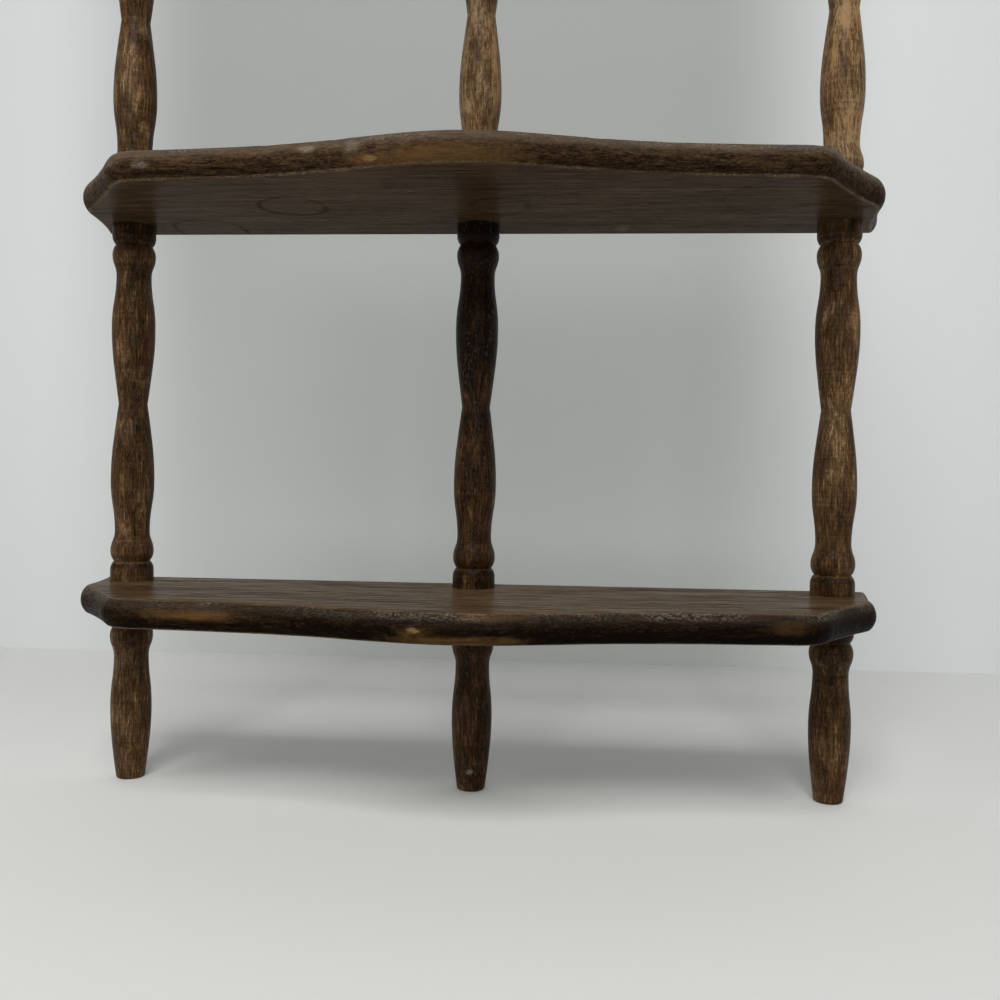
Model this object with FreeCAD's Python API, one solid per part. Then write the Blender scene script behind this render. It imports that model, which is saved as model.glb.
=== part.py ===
import FreeCAD, Part
import math
import os

# A wall shelf of three scalloped boards on turned spindles, hung by two keyhole plates.
# Sizes are in millimetres. X runs to the right, Y into the wall and Z up.
# The origin is midway between the two keyholes, on the rear edge of the top board.

# Layout
BOARD_THICKNESS = 15.9
SPINDLE_LENGTH = 217.0
LEG_LENGTH = 106.0
COLUMN_SPACING = 212.0          # from the centre column to an outer one
COLUMN_SETBACK = 20.3           # from the rear edge to the axes of the columns

# Plan of a board, at the arris where its flat face meets the rounded edge
REAR_OVERHANG = 23.4            # rear corner beyond the outer column
EAR_INSET = 9.6                 # ear in from the rear corner
EAR_DEPTH = 46.0                # ear forward of the rear edge
EAR_ANGLE = 84.0                # degrees between the end and the front, at the ear
SHOULDER_INSET = 6.4            # end of the ear's round in from the ear
SHOULDER_DEPTH = 15.0           # end of the ear's round forward of the ear
SHOULDER_ANGLE = 49.0           # degrees between the slanted end and the front, there
HIP_INSET = 32.0                # start of the front corner in from the shoulder
HIP_DEPTH = 43.0                # start of the front corner forward of the shoulder
HIP_ANGLE = 57.0                # degrees between the slanted end and the front, there
CORNER_INSET = 16.4             # end of the front corner in from the hip
CORNER_DEPTH = 9.4              # end of the front corner forward of the hip
FRONT_ANGLE = 2.5               # degrees by which the front leaves the corner, forward
FLANK_HALF_WIDTH = 54.0         # flank of the centre bulge, from the middle
FLANK_DEPTH = 16.0              # flank of the bulge forward of the front corner
FLANK_ANGLE = 16.0              # degrees of slope on the flank
BULGE_DEPTH = 10.0              # crest of the bulge forward of its flank
NOSE_SAGITTA = 3.6              # rounded edge beyond its arrises
EASE_RADIUS = 3.0               # easing of the arrises

# Turning, from its end to the waist at its middle
COLLAR_DIA = 25.4
COLLAR_RUN = 6.6
GROOVE_DIA = 21.0
GROOVE_RUN = 5.3
BEAD_DIA = 25.2
BEAD_RUN = 6.2
NECK_DIA = 20.3
NECK_RUN = 12.4
SWELL_DIA = 25.4
SWELL_RUN = 31.1
WAIST_DIA = 16.7
WAIST_TAPER = 7.8               # degrees of slope as the swell reaches the waist
LEG_SWELL_DIA = 24.2
FOOT_DIA = 17.0
FOOT_ROUND = 1.6                # rounded rim of a leg's foot

# Dowel screws that hold the columns together
DOWEL_DIA = 6.3
DOWEL_BITE = 20.0               # length of screw inside each turning
DOWEL_POINT = 4.0
PILOT_CLEARANCE = 0.1           # on the diameter of a hole that a screw grips
PASS_CLEARANCE = 0.5            # on the diameter of a hole that a screw passes
PILOT_SPARE = 2.0               # hole beyond the end of its screw
DRILL_POINT = 1.5               # conical end of a drilled hole

# Wood screws through the top board
TOP_SCREW_DIA = 4.2
TOP_SCREW_HEAD_DIA = 8.4
TOP_SCREW_HEAD = 2.4            # height of the countersunk head
TOP_SCREW_BITE = 26.0           # length of screw inside the spindle
TOP_SCREW_POINT = 5.0
SLOT_WIDTH_TO_HEAD = 0.14       # driving slot's width for each millimetre of head
SLOT_DEPTH_TO_HEAD = 0.09

# Keyhole hanger plates
PLATE_LENGTH = 36.0
PLATE_WIDTH = 11.4
PLATE_THICKNESS = 1.5
PLATE_CLEARANCE = 0.2           # gap round a plate in its recess
PLATE_INSET = 8.8               # plate's centre in from the outer column
KEYHOLE_DIA = 7.5
KEYHOLE_SLOT = 3.6
KEYHOLE_TRAVEL = 3.2
POCKET_DEPTH = 8.0              # room behind the keyhole for a screw's head
POCKET_MARGIN = 0.8             # pocket beyond the keyhole, all round
PLATE_SCREW_SPACING = 26.0
PLATE_SCREW_DIA = 2.8
PLATE_SCREW_HEAD_DIA = 5.2
PLATE_SCREW_HEAD = 1.2
PLATE_SCREW_LENGTH = 12.0
PLATE_SCREW_POINT = 3.0
SEAT_CLEARANCE = 0.1            # between a countersunk head and its seat, on the diameter

# Modelling allowances
REAR_OVERRUN = 6.0              # stock behind the rear edge, trimmed off
NOSE_ROOT = 2.0                 # overlap that joins the rounded edge to the board
STRAIGHT = 1e-6                 # turn, in radians, below which an arc is a line

# Heights of the boards' undersides
KEYHOLE_HEIGHT = (KEYHOLE_DIA + KEYHOLE_SLOT) / 2 + KEYHOLE_TRAVEL
KEYHOLE_DROP = (KEYHOLE_HEIGHT - KEYHOLE_DIA) / 2
TOP_BOARD_Z = KEYHOLE_DROP - BOARD_THICKNESS / 2
TIER = BOARD_THICKNESS + SPINDLE_LENGTH
BOARD_Z = {"bottom": TOP_BOARD_Z - 2 * TIER, "middle": TOP_BOARD_Z - TIER, "top": TOP_BOARD_Z}
COLUMN_X = {"left": -COLUMN_SPACING, "centre": 0.0, "right": COLUMN_SPACING}
PLATE_X = {"left": PLATE_INSET - COLUMN_SPACING, "right": COLUMN_SPACING - PLATE_INSET}

ORIGIN = FreeCAD.Vector(0, 0, 0)
X_AXIS = FreeCAD.Vector(1, 0, 0)
Y_AXIS = FreeCAD.Vector(0, 1, 0)
Z_AXIS = FreeCAD.Vector(0, 0, 1)


def point(x, y):
    return FreeCAD.Vector(x, y, 0)


def heading(degrees):
    """Unit vector in the drawing plane."""
    return point(math.cos(math.radians(degrees)), math.sin(math.radians(degrees)))


def mirrored_heading(direction, chord):
    """Heading at the other end of an arc on this chord."""
    along = FreeCAD.Vector(chord).normalize()
    return along * (2 * along.dot(direction)) - direction


def arc_from(start, direction, end):
    """Arc, or line, that leaves start along a heading and runs to end."""
    chord = end - start
    turn = math.atan2(direction.cross(chord).z, direction.dot(chord))
    if abs(turn) < STRAIGHT:
        return Part.LineSegment(start, end).toShape()
    side = point(chord.y, -chord.x)
    middle = start + chord * 0.5 + side * (math.tan(turn / 2) / 2)
    return Part.Arc(start, middle, end).toShape()


def arc_to(start, end, direction):
    """Arc, or line, that runs from start and reaches end along a heading."""
    return arc_from(start, mirrored_heading(direction, end - start), end)


def biarc(start, start_heading, end, end_heading):
    """Two arcs that run smoothly from one point and heading to another."""
    chord = end - start
    spread = 1 - start_heading.dot(end_heading)
    along = chord.dot(start_heading + end_heading)
    if spread < STRAIGHT:
        reach = chord.dot(chord) / (2 * along)
    else:
        reach = (math.sqrt(along ** 2 + 2 * spread * chord.dot(chord)) - along) / (2 * spread)
    joint = (start + end + (start_heading - end_heading) * reach) * 0.5
    return [arc_from(start, start_heading, joint), arc_to(joint, end, end_heading)]


def chain(corners):
    """Straight edges through a list of points."""
    return [Part.LineSegment(a, b).toShape() for a, b in zip(corners, corners[1:])]


def half_plan():
    """Right half of a board's front and end, from behind the rear edge to the centre bulge."""
    corner_rear = point(COLUMN_SPACING + REAR_OVERHANG, 0)
    ear = corner_rear - point(EAR_INSET, EAR_DEPTH)
    shoulder = ear - point(SHOULDER_INSET, SHOULDER_DEPTH)
    hip = shoulder - point(HIP_INSET, HIP_DEPTH)
    corner = hip - point(CORNER_INSET, CORNER_DEPTH)
    flank = point(FLANK_HALF_WIDTH, corner.y - FLANK_DEPTH)
    crest = point(0, flank.y - BULGE_DEPTH)
    into_ear = heading(180 + EAR_ANGLE)
    out_of_rear = mirrored_heading(into_ear, ear - corner_rear)
    rear = corner_rear - out_of_rear * (REAR_OVERRUN / -out_of_rear.y)
    stations = [(ear, into_ear), (shoulder, heading(180 + SHOULDER_ANGLE))]
    stations += [(hip, heading(180 + HIP_ANGLE)), (corner, heading(180 + FRONT_ANGLE))]
    stations += [(flank, heading(180 + FLANK_ANGLE)), (crest, heading(180))]
    edges = chain([rear, corner_rear]) + [arc_to(corner_rear, ear, into_ear)]
    for here, there in zip(stations, stations[1:]):
        edges += biarc(*here, *there)
    return edges


def outward(edge, parameter):
    """Unit vector that leaves the board at right angles to its plan."""
    along = edge.tangentAt(parameter)
    return point(-along.y, along.x)


def inset(edge):
    """An arc or line of the plan moved in to the root of the rounded edge."""
    first = edge.FirstParameter
    last = edge.LastParameter
    places = [edge.valueAt(p) - outward(edge, p) * NOSE_ROOT for p in (first, (first + last) / 2, last)]
    if isinstance(edge.Curve, Part.Circle):
        return Part.Arc(*places).toShape()
    return Part.LineSegment(places[0], places[2]).toShape()


def nose_section(start, out):
    """Section of the rounded edge and its eased arrises at one point of the plan."""
    half = BOARD_THICKNESS / 2
    nose = (half ** 2 + NOSE_SAGITTA ** 2) / (2 * NOSE_SAGITTA)
    centre = point(NOSE_SAGITTA - nose, 0)
    rise = half - EASE_RADIUS
    ease = centre + point(math.sqrt((nose - EASE_RADIUS) ** 2 - rise ** 2), rise)
    lean = FreeCAD.Vector(ease - centre).normalize()
    middle = (lean + heading(90)).normalize()
    upper = [point(-NOSE_ROOT, half), point(ease.x, half), ease + middle * EASE_RADIUS, centre + lean * nose]
    upper = [start + out * p.x + Z_AXIS * (half + p.y) for p in upper]
    lower = [FreeCAD.Vector(p.x, p.y, BOARD_THICKNESS - p.z) for p in upper]
    crown = start + out * NOSE_SAGITTA + Z_AXIS * half
    outline = chain([upper[1], upper[0], lower[0], lower[1]])
    outline += [Part.Arc(*lower[1:]).toShape(), Part.Arc(lower[3], crown, upper[3]).toShape()]
    outline += [Part.Arc(*reversed(upper[1:])).toShape()]
    return Part.Face(Part.Wire(outline))


def nose_along(edge):
    """Rounded edge of a board along one arc or line of its plan."""
    start = edge.valueAt(edge.FirstParameter)
    section = nose_section(start, outward(edge, edge.FirstParameter))
    if isinstance(edge.Curve, Part.Circle):
        turn = math.degrees(edge.LastParameter - edge.FirstParameter)
        return section.revolve(edge.Curve.Center, edge.Curve.Axis, turn)
    return section.extrude(edge.valueAt(edge.LastParameter) - start)


def blank_board():
    """Board with its rounded edge, underside at Z = 0, before any holes."""
    plan = half_plan()
    core = [inset(edge) for edge in plan]
    rear = core[0].valueAt(core[0].FirstParameter)
    crest = core[-1].valueAt(core[-1].LastParameter)
    closing = chain([crest, point(0, rear.y), rear])
    slab = Part.Face(Part.Wire(core + closing)).extrude(Z_AXIS * BOARD_THICKNESS)
    half = slab.multiFuse([nose_along(edge) for edge in plan])
    stock = 2 * REAR_OVERRUN
    behind = Part.makeBox(rear.x + stock, stock, BOARD_THICKNESS)
    half = half.cut(behind)
    return half.fuse(half.mirror(ORIGIN, X_AXIS)).removeSplitter()


def turned_half(length, swell_dia, end_dia):
    """Edges of a turning's profile from its end up to the waist, X as radius and Y as height."""
    collar = point(COLLAR_DIA / 2, COLLAR_RUN)
    groove = point(GROOVE_DIA / 2, collar.y + GROOVE_RUN)
    bead = point(BEAD_DIA / 2, groove.y + BEAD_RUN)
    neck = point(NECK_DIA / 2, bead.y + NECK_RUN)
    swell = point(swell_dia / 2, neck.y + SWELL_RUN)
    waist = point(end_dia / 2, length)
    up = heading(90)
    edges = chain([point(collar.x, 0), collar])
    edges += [arc_from(collar, up, groove), arc_to(groove, bead, up)]
    edges += biarc(bead, up, neck, up)
    edges += biarc(neck, up, swell, up)
    edges += biarc(swell, up, waist, heading(90 + WAIST_TAPER))
    return edges


def drilled_end(screw_dia, bite):
    """Points down a turning's end face and along its pilot hole to the axis."""
    radius = (screw_dia + PILOT_CLEARANCE) / 2
    depth = bite + PILOT_SPARE
    return [point(COLLAR_DIA / 2, 0), point(radius, 0), point(radius, depth), point(0, depth + DRILL_POINT)]


def flipped(edge, length):
    """The same edge of a profile, from the other end of a turning."""
    return edge.mirror(point(0, length / 2), Y_AXIS)


def turned(edges):
    """Solid of revolution about Z from a profile with X as radius and Y as height."""
    profile = Part.Face(Part.Wire(Part.__sortEdges__(edges)))
    profile.rotate(ORIGIN, X_AXIS, 90)
    return profile.revolve(ORIGIN, Z_AXIS, 360)


def spindle(top_screw_dia, top_bite):
    """Full turning with a pilot hole in each end, standing on Z = 0."""
    half = turned_half(SPINDLE_LENGTH / 2, SWELL_DIA, WAIST_DIA)
    lower_hole = drilled_end(DOWEL_DIA, DOWEL_BITE)
    upper_hole = [point(p.x, SPINDLE_LENGTH - p.y) for p in drilled_end(top_screw_dia, top_bite)]
    edges = half + [flipped(edge, SPINDLE_LENGTH) for edge in half]
    edges += chain(lower_hole + [upper_hole[-1]]) + chain(upper_hole)
    return turned(edges)


def leg():
    """Half turning with a rounded foot, hanging from Z = 0."""
    rim = point(FOOT_DIA / 2, LEG_LENGTH - FOOT_ROUND)
    sole = point(rim.x - FOOT_ROUND, LEG_LENGTH)
    hole = drilled_end(DOWEL_DIA, DOWEL_BITE)
    edges = turned_half(rim.y, LEG_SWELL_DIA, FOOT_DIA)
    edges += [arc_to(rim, sole, heading(180))]
    edges += chain([sole, point(0, LEG_LENGTH), hole[-1]]) + chain(hole)
    solid = turned(edges)
    solid.rotate(ORIGIN, X_AXIS, 180)
    return solid


def pointed_rod(dia, length, point_length):
    """Half profile of a screw's shank from Y = 0 to its point."""
    return [point(dia / 2, 0), point(dia / 2, length - point_length), point(0, length)]


def dowel_screw():
    """Double-ended screw, centred on Z = 0."""
    reach = BOARD_THICKNESS / 2 + DOWEL_BITE
    upper = pointed_rod(DOWEL_DIA, reach, DOWEL_POINT)
    lower = [point(p.x, -p.y) for p in upper[1:]]
    return turned(chain([upper[2], upper[1], lower[0], lower[1], upper[2]]))


def countersunk_screw(dia, head_dia, head, length, tip):
    """Slotted countersunk screw pointing down, the face of its head at Z = 0."""
    corners = [point(0, 0), point(head_dia / 2, 0), point(dia / 2, -head)]
    corners += [point(dia / 2, tip - length), point(0, -length), point(0, 0)]
    screw = turned(chain(corners))
    width = head_dia * SLOT_WIDTH_TO_HEAD
    depth = head_dia * SLOT_DEPTH_TO_HEAD
    slot = Part.makeBox(head_dia, width, depth, FreeCAD.Vector(-head_dia / 2, -width / 2, -depth))
    return screw.cut(slot)


def screw_hole(dia, clearance, head_dia, head, length):
    """Hole for a countersunk screw, opening upwards at Z = 0."""
    rim = (head_dia + SEAT_CLEARANCE) / 2
    radius = (dia + clearance) / 2
    corners = [point(0, 0), point(rim, 0), point(radius, -head), point(radius, -length), point(0, -length)]
    return turned(chain(corners + [corners[0]]))


def rear_facing(shape):
    """Turn a shape that opens upwards so that it opens to the rear, +Y."""
    turned_shape = shape.copy()
    turned_shape.rotate(ORIGIN, X_AXIS, -90)
    return turned_shape


def upright_slot(bottom_dia, top_dia, travel, depth):
    """Keyhole-shaped prism that runs forward from the rear plane."""
    lower = Part.makeCylinder(bottom_dia / 2, depth, ORIGIN, -Y_AXIS)
    upper = Part.makeCylinder(top_dia / 2, depth, Z_AXIS * travel, -Y_AXIS)
    neck = Part.makeBox(top_dia, depth, travel, FreeCAD.Vector(-top_dia / 2, -depth, 0))
    return lower.multiFuse([upper, neck]).removeSplitter()


def plate_blank(grow, depth):
    """Round-ended bar that runs forward from the rear plane, around the plate's centre."""
    radius = PLATE_WIDTH / 2 + grow
    middle = PLATE_LENGTH / 2 - PLATE_WIDTH / 2
    ends = [Part.makeCylinder(radius, depth, X_AXIS * x, -Y_AXIS) for x in (-middle, middle)]
    bar = Part.makeBox(2 * middle, depth, 2 * radius, FreeCAD.Vector(-middle, -depth, -radius))
    blank = bar.multiFuse(ends).removeSplitter()
    blank.translate(Z_AXIS * KEYHOLE_DROP)
    return blank


def plate_screw_places():
    """Centres of a plate's two screws on the rear plane."""
    return [FreeCAD.Vector(side * PLATE_SCREW_SPACING / 2, 0, KEYHOLE_DROP) for side in (-1, 1)]


def keyhole_plate():
    plate = plate_blank(0, PLATE_THICKNESS)
    plate = plate.cut(upright_slot(KEYHOLE_DIA, KEYHOLE_SLOT, KEYHOLE_TRAVEL, PLATE_THICKNESS))
    hole = rear_facing(screw_hole(PLATE_SCREW_DIA, PASS_CLEARANCE, PLATE_SCREW_HEAD_DIA,
                                  PLATE_SCREW_HEAD, PLATE_SCREW_LENGTH))
    return plate.cut([hole.translated(place) for place in plate_screw_places()])


def hanger_cuts():
    """What is cut out of the top board's rear edge for one plate."""
    recess = plate_blank(PLATE_CLEARANCE, PLATE_THICKNESS)
    pocket = upright_slot(KEYHOLE_DIA + 2 * POCKET_MARGIN, KEYHOLE_DIA + 2 * POCKET_MARGIN,
                          KEYHOLE_TRAVEL, POCKET_DEPTH)
    radius = (PLATE_SCREW_DIA + PILOT_CLEARANCE) / 2
    depth = PLATE_SCREW_LENGTH + PILOT_SPARE
    pilots = [Part.makeCylinder(radius, depth, place, -Y_AXIS) for place in plate_screw_places()]
    return recess.multiFuse([pocket] + pilots)


def plate_screws():
    """The two screws of one plate, as separate solids."""
    screw = rear_facing(countersunk_screw(PLATE_SCREW_DIA, PLATE_SCREW_HEAD_DIA, PLATE_SCREW_HEAD,
                                          PLATE_SCREW_LENGTH, PLATE_SCREW_POINT))
    return Part.makeCompound([screw.translated(place) for place in plate_screw_places()])


def column_place(column, z):
    return FreeCAD.Vector(COLUMN_X[column], -COLUMN_SETBACK, z)


def build():
    """All the pieces by name, in place."""
    pieces = {}
    blank = blank_board()
    pass_hole = Part.makeCylinder((DOWEL_DIA + PASS_CLEARANCE) / 2, BOARD_THICKNESS)
    top_length = BOARD_THICKNESS + TOP_SCREW_BITE
    top_hole = screw_hole(TOP_SCREW_DIA, PASS_CLEARANCE, TOP_SCREW_HEAD_DIA, TOP_SCREW_HEAD, top_length)
    top_hole.translate(Z_AXIS * BOARD_THICKNESS)
    for level, z in BOARD_Z.items():
        hole = top_hole if level == "top" else pass_hole
        board = blank.cut([hole.translated(column_place(column, 0)) for column in COLUMN_X])
        pieces["shelf_" + level] = board.translated(Z_AXIS * z)
    cuts = hanger_cuts()
    pieces["shelf_top"] = pieces["shelf_top"].cut([cuts.translated(X_AXIS * x) for x in PLATE_X.values()])

    lower_spindle = spindle(DOWEL_DIA, DOWEL_BITE)
    upper_spindle = spindle(TOP_SCREW_DIA, TOP_SCREW_BITE)
    top_screw = countersunk_screw(TOP_SCREW_DIA, TOP_SCREW_HEAD_DIA, TOP_SCREW_HEAD, top_length,
                                  TOP_SCREW_POINT)
    hung_leg = leg()
    dowel = dowel_screw()
    for column in COLUMN_X:
        bottom = BOARD_Z["bottom"]
        middle = BOARD_Z["middle"]
        top_face = BOARD_Z["top"] + BOARD_THICKNESS
        pieces["leg_" + column] = hung_leg.translated(column_place(column, bottom))
        pieces["spindle_lower_" + column] = lower_spindle.translated(
            column_place(column, bottom + BOARD_THICKNESS))
        pieces["spindle_upper_" + column] = upper_spindle.translated(
            column_place(column, middle + BOARD_THICKNESS))
        for level in ("bottom", "middle"):
            pieces["dowel_screw_%s_%s" % (level, column)] = dowel.translated(
                column_place(column, BOARD_Z[level] + BOARD_THICKNESS / 2))
        pieces["top_screw_" + column] = top_screw.translated(column_place(column, top_face))

    plate = keyhole_plate()
    screws = plate_screws()
    for side, x in PLATE_X.items():
        pieces["keyhole_plate_" + side] = plate.translated(X_AXIS * x)
        pieces["keyhole_screws_" + side] = screws.translated(X_AXIS * x)
    return pieces


os.makedirs("parts", exist_ok=True)
for name, shape in build().items():
    shape.exportStep("parts/" + name + ".step")
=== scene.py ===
import math

import bpy
from mathutils import Matrix, Vector


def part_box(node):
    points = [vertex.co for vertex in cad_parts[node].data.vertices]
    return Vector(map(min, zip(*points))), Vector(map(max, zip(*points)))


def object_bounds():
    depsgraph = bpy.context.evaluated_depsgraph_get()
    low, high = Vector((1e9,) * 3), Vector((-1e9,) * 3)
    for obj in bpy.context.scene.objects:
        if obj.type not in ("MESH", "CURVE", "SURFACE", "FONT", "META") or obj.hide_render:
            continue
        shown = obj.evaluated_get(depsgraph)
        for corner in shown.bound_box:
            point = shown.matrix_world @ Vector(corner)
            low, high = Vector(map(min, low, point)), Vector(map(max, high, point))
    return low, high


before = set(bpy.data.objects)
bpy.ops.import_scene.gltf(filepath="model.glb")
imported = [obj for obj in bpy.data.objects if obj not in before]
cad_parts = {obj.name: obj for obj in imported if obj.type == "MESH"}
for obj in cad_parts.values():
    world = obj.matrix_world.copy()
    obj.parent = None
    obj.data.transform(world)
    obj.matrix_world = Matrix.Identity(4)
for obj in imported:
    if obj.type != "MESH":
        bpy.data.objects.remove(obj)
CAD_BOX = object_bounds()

MM = 0.001

# Where the photograph was taken from, in the part's frame, and how its camera was turned
CAMERA_PLACE = Vector((57.0, -620.0, -392.6)) * MM
CAMERA_YAW = math.radians(-3.98)
CAMERA_PITCH = math.radians(-1.12)
CAMERA_ROLL = math.radians(0.83)
CAMERA_LENS = 36.0
CAMERA_SENSOR = 36.0
CAMERA_NEAR = 10 * MM

# The room, in metres: a pale floor that fades far away, and a pale wall with a painted shade behind the
# shelf
ROOM_HALF_WIDTH = 4.0
WALL_BEHIND = 0.41
WALL_HEIGHT = 2.6
FLOOR_COLOUR = (0.85, 0.855, 0.84)
FLOOR_DARKEST = 0.95
FLOOR_FADE = (0.9, 2.6)
WALL_COLOUR = (0.80, 0.828, 0.832)
# Painted shade on the wall: its colour high up and low down, its middle across X, and its reach
WALL_SHADE_HIGH = (0.43, 0.445, 0.435)
WALL_SHADE_LOW = (0.64, 0.665, 0.65)
WALL_SHADE_CENTRE = -0.065
WALL_SHADE_REACH = (0.25, 0.45)
PAINT_ROUGHNESS = 0.85
PAINT_SPECULAR = 0.2
BLACK = (0.0, 0.0, 0.0)

# The world: its colour, how much it lights the shelf, and how bright it shows to the camera
WORLD_COLOUR = (0.95, 0.97, 1.0)
WORLD_STRENGTH = 0.09
WORLD_SEEN_STRENGTH = 0.50

# Soft lamps that face the shelf: name, place, size, power in watts, spread, whether reflections show it
LAMP_COLOUR = (1.0, 0.99, 0.97)
WIDE = math.radians(180)
GRIDDED = math.radians(110)
LAMPS = (
    ("ceiling", (-0.05, -1.45, 1.05), 0.9, 29.5, WIDE, True),
    ("left", (-0.90, -0.40, -0.20), 0.6, 0.8, GRIDDED, False),
    ("right", (0.90, -0.40, -0.20), 0.6, 0.4, GRIDDED, False),
    ("front", (0.10, -1.2, 0.05), 0.3, 1.0, WIDE, True),
)

# Stain colours from where it is thinnest to where it lies thickest, as (place on the ramp, colour)
TURNING_STAIN = (
    (0.0, (0.280, 0.190, 0.100)),
    (0.30, (0.106, 0.0620, 0.0275)),
    (0.55, (0.047, 0.0240, 0.0084)),
    (0.80, (0.016, 0.0070, 0.0018)),
    (1.0, (0.005, 0.0024, 0.0009)),
)
BOARD_STAIN = (
    (0.0, (0.122, 0.078, 0.041)),
    (0.30, (0.063, 0.038, 0.0200)),
    (0.55, (0.029, 0.0167, 0.0086)),
    (0.80, (0.0115, 0.0064, 0.0032)),
    (1.0, (0.0045, 0.0029, 0.0019)),
)
THICKEST_STAIN = BOARD_STAIN[-1][1]

# What shows where the stain is worn: thin stain, bare wood and pale dust; the bare wood is also a painted
# reflection on lower arrises, and the pale is also painted sheen and glints
RUBBED = (0.122, 0.066, 0.024)
BARE_WOOD = (0.29, 0.185, 0.080)
PALE = (0.20, 0.172, 0.138)

# Kinds of marks: the colour that shows, and the share of the mark's reach within which it is full
MARKS = {"rub": (RUBBED, 0.2), "chip": (BARE_WOOD, 0.5), "scuff": (PALE, 0.3)}

# Noise layers of a board, whose grain runs along X: features per metre on each axis, detail, roughness
BOARD_NOISE = {
    "drift": ((4, 22, 22), 2, 0.55),
    "mottle": ((10, 30, 30), 3, 0.55),
    "streaks": ((22, 460, 460), 4, 0.65),
    "fine": ((130, 1500, 1500), 2, 0.55),
    "pores": ((55, 900, 900), 2, 0.55),
    "speckle": ((450, 1300, 1300), 3, 0.65),
    "ragged": ((160, 320, 320), 3, 0.55),
    "patches": ((30, 60, 60), 3, 0.55),
    "sparkle": ((600, 1200, 1200), 3, 0.65),
}

# Noise layers of a turning, whose grain runs along Z
TURNING_NOISE = {
    "blotch": ((70, 70, 30), 3, 0.55),
    "mottle": ((190, 190, 50), 4, 0.6),
    "streaks": ((950, 950, 75), 3, 0.55),
    "speckle": ((1500, 1500, 360), 3, 0.65),
    "pores": ((1000, 1000, 240), 1, 0.55),
    "lathe": ((4, 4, 900), 1, 0.55),
    "ragged": ((260, 260, 260), 3, 0.55),
}
RED_NOISE = ((50, 50, 20), 3, 0.55)

# Noise layers of the steel and the floor
STEEL_NOISE = {
    "clouds": ((220, 220, 220), 3, 0.55),
    "scratches": ((3500, 260, 900), 2, 0.55),
    "tarnish": ((90, 90, 90), 4, 0.55),
}
FLOOR_NOISE = ((1.4, 1.4, 1.4), 2, 0.55)

# The value that every noise swings round
NOISE_MIDDLE = 0.5

# Zones of a board by the Z of its normal: where each starts and is full; an END is its other side
UNDERSIDE = (-0.70, -0.90)
# Painted shade: an edge is darker where it faces down
PAINTED_SHADE_DOWN = (0.55, -0.55)
# Pale dust and painted sheen where an edge faces up
DUST_AND_SHEEN_ZONE = (0.0, 0.65)
LIP = (0.25, 0.70)
UNDER_ARRIS = (-0.72, -0.86)
UNDER_ARRIS_END = (-0.995, -0.96)

# Zones that are alike above and below, by the size of that Z
EDGE = (0.97, 0.64)
ARRIS = (0.64, 0.82)
ARRIS_END = (0.9995, 0.97)
LIP_END = (0.9995, 0.98)

# How thick the stain lies on the boards: on their flats, where the thinner stain on top is partly painted
# sheen, and on each one's edge at its left and right end, where the change along the edge is partly
# painted light
TOP_DEPTH = 0.18
UNDERSIDE_DEPTH = 0.36
EDGE_DEPTH = {
    "shelf_bottom": (0.66, 0.80),
    "shelf_middle": (0.30, 0.34),
    "shelf_top": (0.30, 0.36),
}
# How much darker an edge's stain is where it faces down, as painted shade
EDGE_PAINTED_SHADE = 0.24

# What each layer of a board adds to the stain, and how strongly its grain shows on top and elsewhere
BOARD_GRAIN = {"mottle": 1.0, "streaks": 2.2, "fine": 1.2, "figure": 0.14}
EDGE_GRAIN = {"speckle": 1.05}
GRAIN_CONTRAST = (0.85, 0.45)
BOARD_PORES = (0.56, 0.66)
BOARD_PORE_DEPTH = 0.18

# Growth rings of the boards: their heart lies below each board, tapers along X, and wanders
HEART_BELOW = 60 * MM
HEART_SCALE = (0.05, 1.0, 1.0)
RING_GAP = 7 * MM
RING_WANDER = 30 * MM

# Wear along a board's edges, with painted glints among the pale flecks, a partly painted reflection on
# the lower arris and dust with painted sheen on the shoulder: patches and flecks of the noise that are
# worn, and how far each zone is
PATCH_RANGE = (0.32, 0.64)
FLECK_RANGE = (0.46, 0.62)
ARRIS_WEAR = 0.12
LIP_WEAR_AND_GLINTS = 0.80
UNDER_ARRIS_WEAR_AND_REFLECTION = (0.02, 0.15)
EDGE_DUST_AND_SHEEN = {"shelf_bottom": 0.07, "shelf_middle": 0.24, "shelf_top": 0.20}

# Marks of use: node, kind, place and reach (mm), strength
WOOD_MARKS = (
    ("shelf_middle", "rub", (-6, -141, -238), (58, 34, 9), 0.9),
    ("shelf_middle", "chip", (-43, -135, -236.5), (4.6, 5, 1.8), 0.9),
    ("shelf_middle", "rub", (-48, -135, -237), (14, 8, 4), 0.8),
    ("shelf_middle", "scuff", (-166, -117, -233), (6, 5, 3.0), 0.65),
    ("shelf_middle", "scuff", (-185, -112, -231), (6, 5, 2.5), 0.5),
    ("shelf_middle", "scuff", (-77, -126, -229), (7, 5, 3.0), 0.85),
    ("shelf_middle", "scuff", (-52, -132, -230), (6, 5, 5.0), 0.55),
    ("shelf_middle", "scuff", (86, -12, -240), (6, 10, 2.0), 0.5),
    ("shelf_bottom", "chip", (-18, -142, -466), (4.4, 5, 1.8), 0.9),
    ("shelf_bottom", "rub", (-18, -142, -467), (12, 8, 4), 0.6),
    ("shelf_bottom", "rub", (-138, -119, -464), (40, 10, 4), 0.9),
    ("shelf_bottom", "rub", (8, -141, -471), (60, 10, 4), 0.9),
    ("shelf_bottom", "rub", (22, -140, -459), (34, 8, 3), 0.6),
    ("shelf_bottom", "rub", (167, -117, -464), (18, 8, 5), 0.3),
    ("shelf_top", "rub", (-6, -141, -2), (60, 12, 8), 0.9),
    ("shelf_top", "chip", (62, -130, 4), (5, 5, 2.0), 0.9),
    ("leg_centre", "scuff", (0, -30, -566.5), (3.2, 6, 2.2), 0.8),
)

# Where the grain lets a board's marks show
RUB_COVER = (0.05, 0.75)
CHIP_COVER = (0.34, 0.58)

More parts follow.
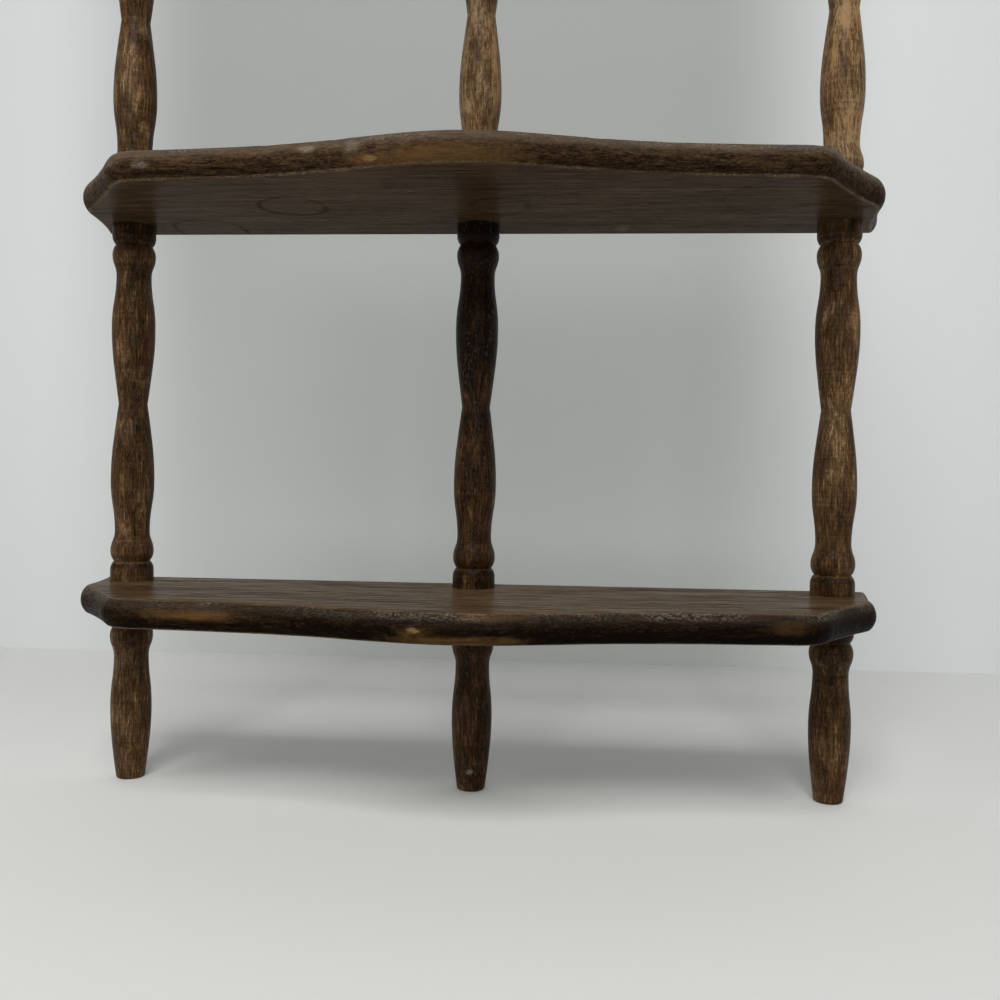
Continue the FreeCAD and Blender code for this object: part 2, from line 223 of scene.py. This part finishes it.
# Rings that wet stain left on the undersides: board, X and Y of the centre and radius (mm), strength
RING_STAINS = (
    ("shelf_middle", (-101, -64), 16, 0.7),
    ("shelf_middle", (-166, -12), 21, 0.6),
    ("shelf_middle", (172, -76), 32, 0.25),
    ("shelf_middle", (16, -62), 17, 0.4),
    ("shelf_bottom", (95, -70), 24, 0.6),
    ("shelf_top", (-60, -48), 26, 0.6),
)
RING_LINE = 2.6 * MM
RING_WOBBLE = {"drift": 20 * MM}
RING_GAPS = (0.26, 0.46)
RING_DARKENS = 0.8

# Lacquer of the boards: roughness, what dulls it, how strongly it mirrors, and the relief under it
BOARD_ROUGHNESS = 0.30
WORN_DULLS = 0.22
RING_DULLS = 0.22
EDGE_DULLS = 0.08
GRAIN_DULLS = {"streaks": 0.8}
PORE_DULLS = 0.30
GRAIN_DULLS_BELOW = 0.4
BOARD_SPECULAR = 0.009
BOARD_RELIEF = {"fine": 0.6, "streaks": 0.6, "speckle": 0.5}
BOARD_BUMP = 0.14 * MM
PORE_SINKS = 0.5
WORN_SINKS = 0.5

# How thick the stain lies on each turning, at its top and at its foot; the upper centre and right ones
# are stained thinner partly as a painted highlight
TURNING_DEPTH = {
    "spindle_upper_left": (0.45, 0.46),
    "spindle_upper_centre": (0.18, 0.27),
    "spindle_upper_right": (0.11, 0.18),
    "spindle_lower_left": (0.52, 0.50),
    "spindle_lower_centre": (0.95, 0.70),
    "spindle_lower_right": (0.40, 0.46),
    "leg_left": (0.47, 0.42),
    "leg_centre": (0.66, 0.58),
    "leg_right": (0.56, 0.52),
}

# What each layer of a turning adds to the stain; the grain shows more where the stain is thick
TURNING_GRAIN = {"blotch": 0.75, "mottle": 0.85, "streaks": 0.8, "speckle": 0.75, "lathe": 0.2}
TURNING_PORES = (0.56, 0.68)
TURNING_PORE_DEPTH = 0.14
PALE_CONTRAST = 1.05
CONTRAST_GAIN = 0.15

# Darker in the grooves near the ends of a turning, and on its collars as painted shade where the turning
# meets a board
GROOVE_FROM_END = 9.3 * MM
GROOVE_REACH = 3.0 * MM
GROOVE_DEPTH = 0.30
COLLAR_REACH = (12.0 * MM, 6.0 * MM)
COLLAR_PAINTED_SHADE = {"top": 0.22, "foot": 0.08}

# Reddish and worn patches of the turnings, and pale flecks that are partly dust and partly painted glints
RED_STAIN = (1.03, 0.94, 0.87)
RED_RANGE = (0.40, 0.60)
WORN_LAYERS = {"blotch": 1.0, "ragged": 0.8}
WORN_RANGE = (0.12, 0.34)
TURNING_WEAR = 0.25
DUST_AND_GLINT_FLECKS = (0.55, 0.68)
DUST_AND_GLINT_PATCHES = (0.42, 0.62)
TURNING_DUST_AND_GLINTS = 0.42

# Finish of the turnings: roughness from fleck to fleck, what dulls it, its mirroring and its relief
TURNING_ROUGHNESS = (0.20, 0.55)
TURNING_WORN_DULLS = 0.1
TURNING_SPECULAR = 0.06
TURNING_RELIEF = {"speckle": 1.0, "streaks": 0.4, "lathe": 0.25}
TURNING_BUMP = 0.16 * MM

# Zinc-plated steel: bright and dull plating, the tarnish on it, its roughness and its relief
SCREW_STEEL = ((0.62, 0.62, 0.60), (0.44, 0.44, 0.43))
PLATE_STEEL = ((0.58, 0.59, 0.60), (0.40, 0.41, 0.42))
TARNISH = (0.20, 0.17, 0.13)
TARNISH_RANGE = (0.50, 0.72)
TARNISH_SHOWS = 0.7
TARNISH_DULLS = 0.25
STEEL_ROUGHNESS = (0.24, 0.40)
STEEL_RELIEF = {"scratches": 0.6, "clouds": 0.3}
STEEL_BUMP = 0.05 * MM

# Each node takes its grain from another place in the noise
SEED_STEP = Vector((1.7, 0.9, 1.3))

# For distances seen from above: the middle of the floor, and the axes that count
ORIGIN = (0.0, 0.0, 0.0)
FLAT = (1.0, 1.0, 0.0)

# Sockets of a Mix node that mixes colours
MIX_FACTOR, MIX_A, MIX_B, MIX_RESULT = 0, 6, 7, 2


class Shader:
    """One procedural material: short calls for the nodes that its colour, gloss and bump are made of."""

    def __init__(self, name):
        self.material = bpy.data.materials.new(name)
        self.material.use_nodes = True
        self.tree = self.material.node_tree
        self.surface = self.tree.nodes["Principled BSDF"]

    def node(self, kind, **settings):
        made = self.tree.nodes.new(kind)
        for key, value in settings.items():
            setattr(made, key, value)
        return made

    def feed(self, socket, value):
        """Links a node's output to a socket, or sets the socket to a number, vector or colour."""
        if isinstance(value, bpy.types.NodeSocket):
            self.tree.links.new(value, socket)
        elif socket.type == "RGBA":
            socket.default_value = (*value, 1.0)
        else:
            socket.default_value = value

    def set(self, **values):
        """Feeds sockets of the surface, named in lower case with underscores."""
        sockets = {socket.name.lower().replace(" ", "_"): socket for socket in self.surface.inputs}
        for name, value in values.items():
            self.feed(sockets[name], value)

    def place(self):
        return self.node("ShaderNodeTexCoord").outputs["Object"]

    def normal(self):
        return self.node("ShaderNodeNewGeometry").outputs["Normal"]

    def axis(self, vector, name):
        made = self.node("ShaderNodeSeparateXYZ")
        self.feed(made.inputs[0], vector)
        return made.outputs[name]

    def vector(self, operation, first, second):
        made = self.node("ShaderNodeVectorMath", operation=operation)
        self.feed(made.inputs[0], first)
        self.feed(made.inputs[1], second)
        return made.outputs["Vector"]

    def distance(self, place, centre, scale):
        """Distance of a place from centre, with each axis stretched by scale."""
        made = self.node("ShaderNodeVectorMath", operation="LENGTH")
        offset = self.vector("SUBTRACT", place, centre)
        self.feed(made.inputs[0], self.vector("MULTIPLY", offset, scale))
        return made.outputs["Value"]

    def math(self, operation, first, second=0.0):
        made = self.node("ShaderNodeMath", operation=operation)
        self.feed(made.inputs[0], first)
        self.feed(made.inputs[1], second)
        return made.outputs[0]

    def plus(self, result, *values):
        for value in values:
            result = self.math("ADD", result, value)
        return result

    def times(self, result, *values):
        for value in values:
            result = self.math("MULTIPLY", result, value)
        return result

    def apart(self, first, second):
        """How far two values lie apart."""
        return self.math("ABSOLUTE", self.math("SUBTRACT", first, second))

    def step(self, value, start, end):
        """Rises smoothly from 0 where value is start to 1 where it is end."""
        made = self.node("ShaderNodeMapRange", interpolation_type="SMOOTHSTEP")
        self.feed(made.inputs["Value"], value)
        self.feed(made.inputs["From Min"], min(start, end))
        self.feed(made.inputs["From Max"], max(start, end))
        self.feed(made.inputs["To Min"], 0.0 if start < end else 1.0)
        self.feed(made.inputs["To Max"], 1.0 if start < end else 0.0)
        return made.outputs[0]

    def spread(self, value, low, high):
        """Maps 0 to 1 onto low to high."""
        made = self.node("ShaderNodeMapRange")
        self.feed(made.inputs["Value"], value)
        self.feed(made.inputs["To Min"], low)
        self.feed(made.inputs["To Max"], high)
        return made.outputs[0]

    def noise(self, place, per_metre, detail, roughness):
        """Noise with per_metre features along each axis."""
        made = self.node("ShaderNodeTexNoise")
        self.feed(made.inputs["Vector"], self.vector("MULTIPLY", place, per_metre))
        self.feed(made.inputs["Scale"], 1.0)
        self.feed(made.inputs["Detail"], detail)
        self.feed(made.inputs["Roughness"], roughness)
        return made.outputs[0]

    def layers(self, place, table):
        return {name: self.noise(place, *layer) for name, layer in table.items()}

    def total(self, weights, layers):
        """The weighted sum of layers, each taken as its swing round the middle of a noise."""
        swings = [self.times(self.math("SUBTRACT", layers[name], NOISE_MIDDLE), weight)
                  for name, weight in weights.items()]
        return self.plus(*swings)

    def ramp(self, value, stops):
        made = self.node("ShaderNodeValToRGB")
        self.feed(made.inputs[0], value)
        elements = made.color_ramp.elements
        while len(elements) < len(stops):
            elements.new(1.0)
        for element, (position, colour) in zip(elements, stops):
            element.position = position
            element.color = (*colour, 1.0)
        return made.outputs[0]

    def mix(self, amount, first, second, blend="MIX"):
        made = self.node("ShaderNodeMix", data_type="RGBA", blend_type=blend)
        self.feed(made.inputs[MIX_FACTOR], amount)
        self.feed(made.inputs[MIX_A], first)
        self.feed(made.inputs[MIX_B], second)
        return made.outputs[MIX_RESULT]

    def spot(self, place, centre, reach, core, ragged):
        """A ragged patch, full within the core share of its reach from centre, both in millimetres."""
        scale = Vector([1 / (length * MM) for length in reach])
        distance = self.distance(place, Vector(centre) * MM, scale)
        return self.step(self.plus(distance, self.math("SUBTRACT", ragged, NOISE_MIDDLE)), 1.0, core)

    def bump(self, height, depth):
        """The normal of a surface with this relief, where a height of 1 stands for depth in metres."""
        made = self.node("ShaderNodeBump")
        self.feed(made.inputs["Strength"], 1.0)
        self.feed(made.inputs["Distance"], depth)
        self.feed(made.inputs["Height"], height)
        return made.outputs[0]


def board_zones(shader):
    """How far a place on a board is part of each zone, from 0 to 1."""
    facing = shader.axis(shader.normal(), "Z")
    level = shader.math("ABSOLUTE", facing)
    edge = shader.step(level, *EDGE)
    return {
        "edge": edge,
        "below": shader.step(facing, *UNDERSIDE),
        "shade_facing_down": shader.times(shader.step(facing, *PAINTED_SHADE_DOWN), edge),
        "dust_and_sheen": shader.times(shader.step(facing, *DUST_AND_SHEEN_ZONE), edge),
        "lip": shader.times(shader.step(facing, *LIP), shader.step(level, *LIP_END)),
        "arris": shader.times(shader.step(level, *ARRIS), shader.step(level, *ARRIS_END)),
        "under_arris": shader.times(shader.step(facing, *UNDER_ARRIS),
                                    shader.step(facing, *UNDER_ARRIS_END)),
    }


def growth_rings(shader, node, place, drift):
    """Dark lines on the crests of waves round the heart of a board's timber."""
    low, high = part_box(node)
    heart = Vector((0.0, (low.y + high.y) / 2, low.z - HEART_BELOW))
    radius = shader.plus(shader.distance(place, heart, HEART_SCALE), shader.times(drift, RING_WANDER))
    wave = shader.math("SINE", shader.times(radius, math.tau / RING_GAP))
    return shader.spread(wave, NOISE_MIDDLE, 1.0)


def board_depth(shader, node, place, layers, zones):
    """How thick the stain lies on a board: by zone, along its edge, and with its grain and pores; the
    edge is darker where it faces down, as painted shade.
    """
    low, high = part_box(node)
    along = shader.step(shader.axis(place, "X"), low.x, high.x)
    flat_depth = shader.spread(zones["below"], TOP_DEPTH, UNDERSIDE_DEPTH)
    depth = shader.spread(zones["edge"], flat_depth, shader.spread(along, *EDGE_DEPTH[node]))
    contrast = shader.spread(shader.math("MAXIMUM", zones["below"], zones["edge"]), *GRAIN_CONTRAST)
    return shader.plus(depth,
                       shader.times(shader.total(BOARD_GRAIN, layers), contrast),
                       shader.times(layers["pores"], BOARD_PORE_DEPTH),
                       shader.times(shader.total(EDGE_GRAIN, layers), zones["edge"]),
                       shader.times(zones["shade_facing_down"], EDGE_PAINTED_SHADE))


def wear_edges(shader, node, colour, layers, zones):
    """Wears a board's arrises with pale flecks that are also painted glints, gives the lower arris bare
    wood that is partly a painted reflection, and puts dust with painted sheen on its shoulder; returns
    the colour, and where its pale flecks lie.
    """
    patchy = shader.step(layers["patches"], *PATCH_RANGE)
    flecks = shader.step(layers["sparkle"], *FLECK_RANGE)
    rubbed_and_glints = shader.times(shader.math("MAXIMUM", zones["lip"], zones["arris"]), patchy, flecks)
    colour = shader.mix(shader.times(zones["arris"], ARRIS_WEAR), colour, RUBBED)
    # Pale flecks on the lip and arrises: wear and painted glints
    colour = shader.mix(shader.times(rubbed_and_glints, LIP_WEAR_AND_GLINTS), colour, PALE)
    # Pale dust and painted sheen where the edge faces up
    colour = shader.mix(shader.times(zones["dust_and_sheen"], EDGE_DUST_AND_SHEEN[node]), colour, PALE)
    # Bare wood on the lower arris: partly wear and partly a painted reflection
    under_arris = shader.times(zones["under_arris"], shader.spread(patchy, *UNDER_ARRIS_WEAR_AND_REFLECTION))
    return shader.mix(under_arris, colour, BARE_WOOD), rubbed_and_glints


def mark_board(shader, node, colour, place, layers, zones):
    """Adds a board's rubs, chips and scuffs; returns the colour, and where it is marked."""
    covers = {
        "rub": shader.times(shader.step(layers["streaks"], *RUB_COVER), zones["edge"]),
        "chip": shader.step(layers["speckle"], *CHIP_COVER),
    }
    covers["scuff"] = covers["chip"]
    marked = 0.0
    for marked_node, kind, centre, reach, strength in WOOD_MARKS:
        if marked_node == node:
            mark_colour, core = MARKS[kind]
            patch = shader.times(shader.spot(place, centre, reach, core, layers["ragged"]), strength)
            colour = shader.mix(shader.times(patch, covers[kind]), colour, mark_colour)
            marked = shader.math("MAXIMUM", marked, patch)
    return colour, marked


def dried_rings(shader, node, place, layers, zones):
    """Where wet stain dried in broken rings on a board's underside."""
    shown = shader.times(zones["below"], shader.step(layers["mottle"], *RING_GAPS))
    wobble = shader.total(RING_WOBBLE, layers)
    dried = 0.0
    for board, (centre_x, centre_y), radius, strength in RING_STAINS:
        if board == node:
            centre = Vector((centre_x, centre_y, 0.0)) * MM
            from_centre = shader.plus(shader.distance(place, centre, FLAT), wobble)
            line = shader.step(shader.apart(from_centre, radius * MM), RING_LINE, 0.0)
            dried = shader.math("MAXIMUM", dried, shader.times(line, shown, strength))
    return dried


def board_material(node, seed):
    """Dark stained board with its grain along X: figure, pores, stain rings, wear with painted glints,
    painted shade and sheen on its edge, and satin lacquer.
    """
    shader = Shader(f"{node}_stained_wood")
    place = shader.place()
    zones = board_zones(shader)
    layers = shader.layers(shader.vector("ADD", place, seed), BOARD_NOISE)
    layers["pores"] = shader.step(layers["pores"], *BOARD_PORES)
    layers["figure"] = growth_rings(shader, node, place, layers["drift"])

    colour = shader.ramp(board_depth(shader, node, place, layers, zones), BOARD_STAIN)
    colour, rubbed_and_glints = wear_edges(shader, node, colour, layers, zones)
    colour, marked = mark_board(shader, node, colour, place, layers, zones)
    worn = shader.math("MAXIMUM", rubbed_and_glints, marked)
    dried = dried_rings(shader, node, place, layers, zones)
    colour = shader.mix(shader.times(dried, RING_DARKENS), colour, THICKEST_STAIN)

    open_grain = shader.plus(shader.total(GRAIN_DULLS, layers), shader.times(layers["pores"], PORE_DULLS))
    grain_dulls = shader.spread(zones["below"], 1.0, GRAIN_DULLS_BELOW)
    roughness = shader.plus(shader.times(open_grain, grain_dulls),
                            shader.times(worn, WORN_DULLS),
                            shader.times(dried, RING_DULLS),
                            shader.times(zones["edge"], EDGE_DULLS),
                            BOARD_ROUGHNESS)
    sunk = shader.plus(shader.times(layers["pores"], PORE_SINKS), shader.times(worn, WORN_SINKS))
    height = shader.math("SUBTRACT", shader.total(BOARD_RELIEF, layers), sunk)
    shader.set(base_color=colour, roughness=roughness, specular_ior_level=BOARD_SPECULAR,
               normal=shader.bump(height, BOARD_BUMP))
    return shader.material


def turning_depth(shader, node, place, layers):
    """How thick the stain lies on a turning: from foot to top and with its grain, darker in its grooves,
    and darker on its collars as painted shade.
    """
    low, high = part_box(node)
    top_depth, foot_depth = TURNING_DEPTH[node]
    up = shader.axis(place, "Z")
    contrast = PALE_CONTRAST + CONTRAST_GAIN * (top_depth + foot_depth)
    grain = shader.plus(shader.total(TURNING_GRAIN, layers),
                        shader.times(layers["pores"], TURNING_PORE_DEPTH))
    depth = shader.plus(shader.spread(shader.step(up, low.z, high.z), foot_depth, top_depth),
                        shader.times(grain, contrast))
    ends = {"top": high.z}
    if node.startswith("spindle"):
        ends["foot"] = low.z
    for name, end in ends.items():
        from_end = shader.apart(up, end)
        groove_dark = shader.step(shader.apart(from_end, GROOVE_FROM_END), GROOVE_REACH, 0.0)
        # Painted shade on the collars where the turning meets a board
        shaded_collar = shader.step(from_end, *COLLAR_REACH)
        darker = shader.math("MAXIMUM", shader.times(groove_dark, GROOVE_DEPTH),
                             shader.times(shaded_collar, COLLAR_PAINTED_SHADE[name]))
        depth = shader.plus(depth, darker)
    return depth


def wear_turning(shader, node, colour, place, layers):
    """Adds a turning's worn patches, pale flecks that are dust and painted glints, and its marks; returns
    the colour, and where it is worn.
    """
    worn = shader.step(shader.total(WORN_LAYERS, layers), *WORN_RANGE)
    colour = shader.mix(shader.times(worn, TURNING_WEAR), colour, RUBBED)
    # Pale flecks: partly dust and partly painted glints
    dust_and_sheen = shader.times(shader.step(layers["speckle"], *DUST_AND_GLINT_FLECKS),
                         shader.step(layers["mottle"], *DUST_AND_GLINT_PATCHES))
    colour = shader.mix(shader.times(dust_and_sheen, TURNING_DUST_AND_GLINTS), colour, PALE)
    for marked_node, kind, centre, reach, strength in WOOD_MARKS:
        if marked_node == node:
            mark_colour, core = MARKS[kind]
            patch = shader.spot(place, centre, reach, core, layers["ragged"])
            colour = shader.mix(shader.times(patch, strength), colour, mark_colour)
    return colour, worn


def turning_material(node, seed):
    """Stained turning with its grain along Z: streaks, pores, darker grooves, painted shade on its
    collars, wear, and dust with painted glints.
    """
    shader = Shader(f"{node}_stained_wood")
    place = shader.place()
    grain_place = shader.vector("ADD", place, seed)
    layers = shader.layers(grain_place, TURNING_NOISE)
    layers["pores"] = shader.step(layers["pores"], *TURNING_PORES)

    colour = shader.ramp(turning_depth(shader, node, place, layers), TURNING_STAIN)
    reddish = shader.step(shader.noise(shader.vector("ADD", grain_place, seed), *RED_NOISE), *RED_RANGE)
    colour = shader.mix(reddish, colour, RED_STAIN, blend="MULTIPLY")
    colour, worn = wear_turning(shader, node, colour, place, layers)

    roughness = shader.plus(shader.spread(layers["speckle"], *TURNING_ROUGHNESS),
                            shader.times(worn, TURNING_WORN_DULLS))
    height = shader.math("SUBTRACT", shader.total(TURNING_RELIEF, layers),
                         shader.times(layers["pores"], PORE_SINKS))
    shader.set(base_color=colour, roughness=roughness, specular_ior_level=TURNING_SPECULAR,
               normal=shader.bump(height, TURNING_BUMP))
    return shader.material


def steel_material(name, bright, dull):
    """Zinc-plated steel: cloudy plating, fine scratches and tarnish."""
    shader = Shader(name)
    layers = shader.layers(shader.place(), STEEL_NOISE)
    tarnish = shader.step(layers["tarnish"], *TARNISH_RANGE)
    plating = shader.mix(layers["clouds"], bright, dull)
    colour = shader.mix(shader.times(tarnish, TARNISH_SHOWS), plating, TARNISH)
    roughness = shader.plus(shader.spread(layers["clouds"], *STEEL_ROUGHNESS),
                            shader.times(tarnish, TARNISH_DULLS))
    shader.set(base_color=colour, roughness=roughness, metallic=1.0,
               normal=shader.bump(shader.total(STEEL_RELIEF, layers), STEEL_BUMP))
    return shader.material


def dress(node, material):
    """Puts one material on a CAD node, whose shape stays as packed."""
    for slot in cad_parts[node].material_slots:
        slot.material = material


def dress_all():
    screw_steel = steel_material("zinc_screw_steel", *SCREW_STEEL)
    plate_steel = steel_material("zinc_plate_steel", *PLATE_STEEL)
    for count, node in enumerate(sorted(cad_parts), start=1):
        if node.startswith("shelf"):
            dress(node, board_material(node, SEED_STEP * count))
        elif node.startswith(("spindle", "leg")):
            dress(node, turning_material(node, SEED_STEP * count))
        elif node.startswith("keyhole_plate"):
            dress(node, plate_steel)
        else:
            dress(node, screw_steel)


def plain_sheet(name, corners):
    """A flat floor or wall of the room, see-through from behind; returns the shader of its matt paint."""
    mesh = bpy.data.meshes.new(name)
    mesh.from_pydata(corners, [], [range(len(corners))])
    sheet = bpy.data.objects.new(name, mesh)
    bpy.context.scene.collection.objects.link(sheet)
    shader = Shader(name + "_paint")
    shader.set(roughness=PAINT_ROUGHNESS, specular_ior_level=PAINT_SPECULAR)
    mesh.materials.append(shader.material)

    from_behind = shader.node("ShaderNodeNewGeometry").outputs["Backfacing"]
    clear = shader.node("ShaderNodeBsdfTransparent").outputs[0]
    seen = shader.node("ShaderNodeMixShader")
    for socket, value in zip(seen.inputs, (from_behind, shader.surface.outputs[0], clear)):
        shader.feed(socket, value)
    shader.feed(shader.tree.nodes["Material Output"].inputs["Surface"], seen.outputs[0])
    return shader


def seen_by_camera(tree):
    """1 for rays from the camera and those that mirror or pass on what it sees, and 0 for other light."""
    path = tree.nodes.new("ShaderNodeLightPath")
    seen = path.outputs["Is Camera Ray"]
    for ray in ("Is Glossy Ray", "Is Transmission Ray"):
        either = tree.nodes.new("ShaderNodeMath")
        either.operation = "MAXIMUM"
        tree.links.new(seen, either.inputs[0])
        tree.links.new(path.outputs[ray], either.inputs[1])
        seen = either.outputs[0]
    return seen


def build_floor(sole):
    """A slightly uneven floor under the soles; far away it fades to the world that the camera sees."""
    side = ROOM_HALF_WIDTH
    floor = plain_sheet("floor", [(-side, -side, sole), (side, -side, sole),
                                  (side, side, sole), (-side, side, sole)])
    place = floor.place()
    darkest = tuple(FLOOR_DARKEST * channel for channel in FLOOR_COLOUR)
    colour = floor.mix(floor.noise(place, *FLOOR_NOISE), FLOOR_COLOUR, darkest)
    far = floor.step(floor.distance(place, ORIGIN, FLAT), *FLOOR_FADE)
    faded = floor.times(far, seen_by_camera(floor.tree))
    floor.set(base_color=floor.mix(faded, colour, BLACK), emission_color=WORLD_COLOUR,
              emission_strength=floor.times(faded, WORLD_SEEN_STRENGTH))


def build_wall(sole, shelf_top):
    """A wall behind the shelf, with a soft painted shade between the columns that is deeper higher up."""
    side, top = ROOM_HALF_WIDTH, sole + WALL_HEIGHT
    wall = plain_sheet("wall", [(-side, WALL_BEHIND, sole), (side, WALL_BEHIND, sole),
                                (side, WALL_BEHIND, top), (-side, WALL_BEHIND, top)])
    place = wall.place()
    high = wall.step(wall.axis(place, "Z"), sole, shelf_top)
    shade = wall.mix(high, WALL_SHADE_LOW, WALL_SHADE_HIGH)
    off_centre = wall.apart(wall.axis(place, "X"), WALL_SHADE_CENTRE)
    wall.set(base_color=wall.mix(wall.step(off_centre, *WALL_SHADE_REACH), shade, WALL_COLOUR))


def light_world():
    world = bpy.data.worlds.new("soft_room")
    bpy.context.scene.world = world
    world.use_nodes = True
    tree = world.node_tree
    sky = tree.nodes["Background"]
    sky.inputs["Color"].default_value = (*WORLD_COLOUR, 1.0)
    strength = tree.nodes.new("ShaderNodeMapRange")
    strength.inputs["To Min"].default_value = WORLD_STRENGTH
    strength.inputs["To Max"].default_value = WORLD_SEEN_STRENGTH
    tree.links.new(seen_by_camera(tree), strength.inputs["Value"])
    tree.links.new(strength.outputs[0], sky.inputs["Strength"])


def hang_lamps():
    target = (CAD_BOX[0] + CAD_BOX[1]) / 2
    for name, place, size, power, spread, reflected in LAMPS:
        data = bpy.data.lights.new(name, "AREA")
        data.size = size
        data.energy = power
        data.spread = spread
        data.color = LAMP_COLOUR
        lamp = bpy.data.objects.new(name, data)
        lamp.location = place
        lamp.visible_camera = False
        lamp.visible_glossy = reflected
        lamp.rotation_mode = "QUATERNION"
        lamp.rotation_quaternion = (target - Vector(place)).to_track_quat("-Z", "Y")
        bpy.context.scene.collection.objects.link(lamp)


def place_camera():
    """Stands the camera where the photograph was taken, turned by its yaw, pitch and roll."""
    ahead = Vector((math.sin(CAMERA_YAW) * math.cos(CAMERA_PITCH),
                    math.cos(CAMERA_YAW) * math.cos(CAMERA_PITCH),
                    math.sin(CAMERA_PITCH)))
    level = Vector((math.cos(CAMERA_YAW), -math.sin(CAMERA_YAW), 0.0))
    above = level.cross(ahead)
    right = level * math.cos(CAMERA_ROLL) + above * math.sin(CAMERA_ROLL)
    up = above * math.cos(CAMERA_ROLL) - level * math.sin(CAMERA_ROLL)
    data = bpy.data.cameras.new("photograph")
    data.lens = CAMERA_LENS
    data.sensor_width = CAMERA_SENSOR
    data.clip_start = CAMERA_NEAR
    camera = bpy.data.objects.new("photograph", data)
    axes = Matrix((right, up, -ahead)).transposed()
    camera.matrix_world = Matrix.Translation(CAMERA_PLACE) @ axes.to_4x4()
    bpy.context.scene.collection.objects.link(camera)
    bpy.context.scene.camera = camera


dress_all()
build_floor(CAD_BOX[0].z)
build_wall(CAD_BOX[0].z, CAD_BOX[1].z)
light_world()
hang_lamps()
place_camera()
bpy.context.scene.view_settings.view_transform = "Standard"
